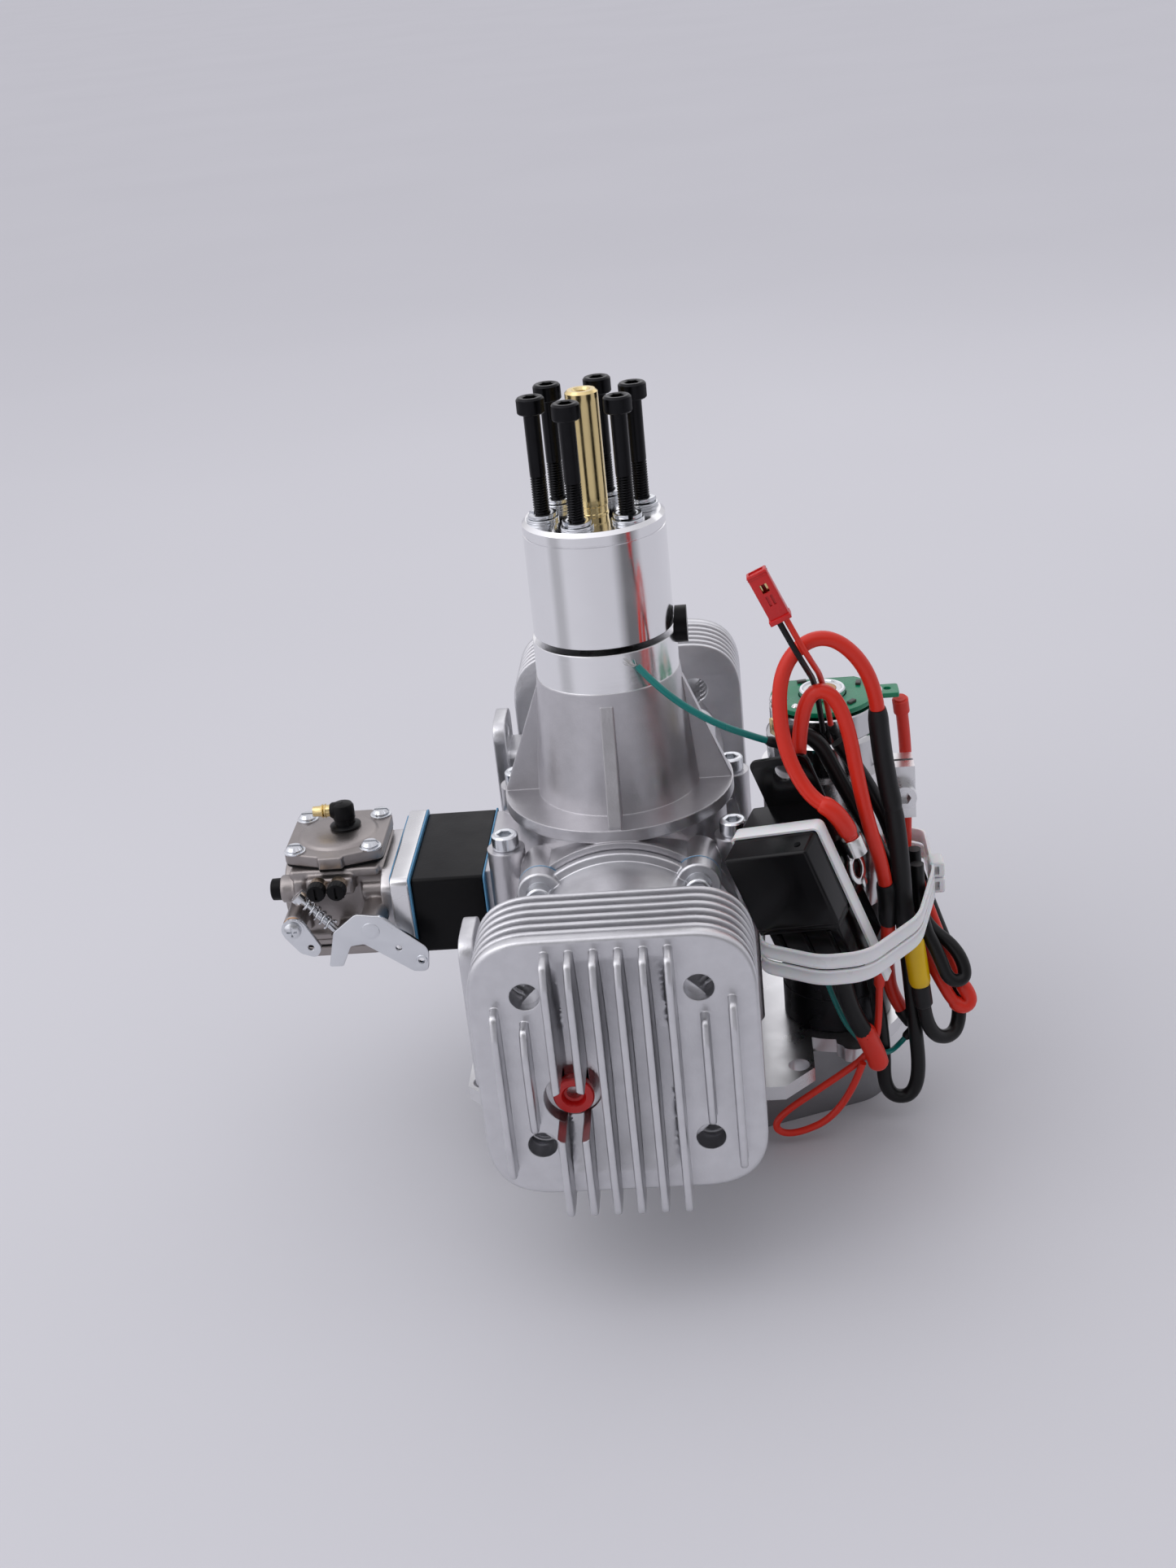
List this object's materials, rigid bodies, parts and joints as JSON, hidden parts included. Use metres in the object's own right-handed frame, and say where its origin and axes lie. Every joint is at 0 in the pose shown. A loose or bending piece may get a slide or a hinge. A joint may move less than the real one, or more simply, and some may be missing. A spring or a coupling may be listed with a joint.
{
  "type": "model aircraft engine",
  "caption": "Opposed two-stroke model aircraft engine with long nose, propeller hub, side carburettor and geared electric starter with relay and wiring.",
  "frame": {"origin": "on the crank axis, on the rear face of the mounting plate", "axes": "+Z along the crank axis towards the propeller, -Y along cylinder A, -X towards the carburettor"},
  "size_m": [0.2274, 0.23, 0.25],
  "materials": {
    "cast_alloy": "bead-blasted casting, satin",
    "machined_alloy": "turned and polished",
    "plate_alloy": "milled plate",
    "gear_case_alloy": "dark cast case",
    "forged_steel": "forged and ground",
    "ground_steel": "hardened and ground",
    "piston_alloy": "machined casting",
    "zinc_steel": "bright zinc plate",
    "black_steel": "black oxide, lightly oiled",
    "brass": "turned",
    "magnet": "nickel plate",
    "gasket_blue": "fibre gasket sheet",
    "black_plastic": "moulded",
    "red_plastic": "moulded",
    "reed_alloy": "plain",
    "adapter_alloy": "milled",
    "carb_zinc": "die-cast, grey passivated",
    "motor_can": "nickel-plated can",
    "board_green": "circuit board",
    "nylon": "natural nylon",
    "tinned_copper": "tin plate",
    "red_silicone": "silicone sleeve",
    "black_silicone": "silicone sleeve",
    "green_pvc": "PVC sleeve"
  },
  "bodies": {
    "engine": {"front_crankcase": "cast_alloy", "rear_crankcase": "cast_alloy", "cylinder_a": "cast_alloy", "cylinder_b": "cast_alloy", "starter_plate": "plate_alloy", "motor_bracket": "plate_alloy", "gear_case": "gear_case_alloy", "crank_bearings": "ground_steel", "crankcase_screws": "zinc_steel", "cylinder_screws": "zinc_steel", "carb_screws": "zinc_steel", "idle_spring": "zinc_steel", "fuel_nipple": "brass", "base_gaskets": "gasket_blue", "intake_gaskets": "gasket_blue", "insulator_block": "black_plastic", "hall_sensor": "black_plastic", "fuel_elbow": "black_plastic", "relay": "black_plastic", "plug_caps": "red_plastic", "connector": "red_plastic", "reed_valve": "reed_alloy", "carb_adapter": "adapter_alloy", "carb_body": "carb_zinc", "pump_cover": "carb_zinc", "starter_motor": "motor_can", "motor_board": "board_green", "zip_ties": "nylon", "ring_terminal": "tinned_copper", "lead_red_a": "red_silicone", "lead_red_b": "red_silicone", "lead_red_c": "red_silicone", "thin_red": "red_silicone", "signal_red": "red_silicone", "lead_black_a": "black_silicone", "lead_black_b": "black_silicone", "lead_black_c": "black_silicone", "signal_black": "black_silicone", "sensor_green": "green_pvc"},
    "crank": {"crankshaft_front": "forged_steel", "crankshaft_rear": "forged_steel", "prop_hub": "machined_alloy", "hub_magnet": "magnet", "prop_bolts": "black_steel", "hub_washers": "zinc_steel", "prop_stud": "brass"},
    "piston_a_group": {"piston_a": "piston_alloy", "con_rod_a": "forged_steel", "pins_a": "ground_steel"},
    "piston_b_group": {"piston_b": "piston_alloy", "con_rod_b": "forged_steel", "pins_b": "ground_steel"},
    "starter_wheel": {"starter_gear": "forged_steel"},
    "idler": {"idler_gear": "forged_steel"},
    "pinion": {"motor_pinion": "forged_steel"},
    "throttle": {"throttle_lever": "zinc_steel"},
    "choke": {"choke_lever": "zinc_steel"},
    "high_needle_screw": {"high_needle": "black_plastic"},
    "low_needle_screw": {"low_needle": "black_plastic"},
    "idle_stop_screw": {"idle_screw": "zinc_steel"}
  },
  "joints": [
    {"name": "crank_spin", "type": "hinge", "parent": "engine", "child": "crank", "pos_m": [0, 0, 0.15], "axis": [0, 0, 1], "continuous": true},
    {"name": "piston_a_slide", "type": "slide", "parent": "engine", "child": "piston_a_group", "axis": [0, 1, 0], "range_m": [0, 0.031]},
    {"name": "piston_b_slide", "type": "slide", "parent": "engine", "child": "piston_b_group", "axis": [0, -1, 0], "range_m": [0, 0.031]},
    {"name": "starter_gear_spin", "type": "hinge", "parent": "engine", "child": "starter_wheel", "pos_m": [0, 0, -0.01], "axis": [0, 0, 1], "continuous": true},
    {"name": "idler_spin", "type": "hinge", "parent": "engine", "child": "idler", "pos_m": [0.04292, 0.00256, -0.01], "axis": [0, 0, 1], "continuous": true},
    {"name": "pinion_spin", "type": "hinge", "parent": "engine", "child": "pinion", "pos_m": [0.06688, 0.00399, -0.01], "axis": [0, 0, 1], "continuous": true},
    {"name": "throttle_turn", "type": "hinge", "parent": "engine", "child": "throttle", "pos_m": [-0.0815, -0.032, 0.0645], "axis": [0, -1, 0], "range_deg": [0, 75]},
    {"name": "choke_turn", "type": "hinge", "parent": "engine", "child": "choke", "pos_m": [-0.1075, -0.028, 0.0645], "axis": [0, -1, 0], "range_deg": [0, 80]},
    {"name": "high_needle_turn", "type": "hinge", "parent": "engine", "child": "high_needle_screw", "pos_m": [-0.092, -0.024, 0.076], "axis": [0, -1, 0], "range_deg": [0, 540]},
    {"name": "low_needle_turn", "type": "hinge", "parent": "engine", "child": "low_needle_screw", "pos_m": [-0.0986, -0.024, 0.076], "axis": [0, -1, 0], "range_deg": [0, 540]},
    {"name": "idle_stop_turn", "type": "hinge", "parent": "engine", "child": "idle_stop_screw", "pos_m": [-0.1045, -0.0225, 0.072], "axis": [0.6303, 0, -0.7764], "range_deg": [0, 720]}
  ],
  "couplings": [
    {"joint": "piston_b_slide", "follows": "piston_a_slide", "ratio": 1},
    {"joint": "idler_spin", "follows": "starter_gear_spin", "ratio": -2.0714},
    {"joint": "pinion_spin", "follows": "starter_gear_spin", "ratio": 2.9}
  ]
}
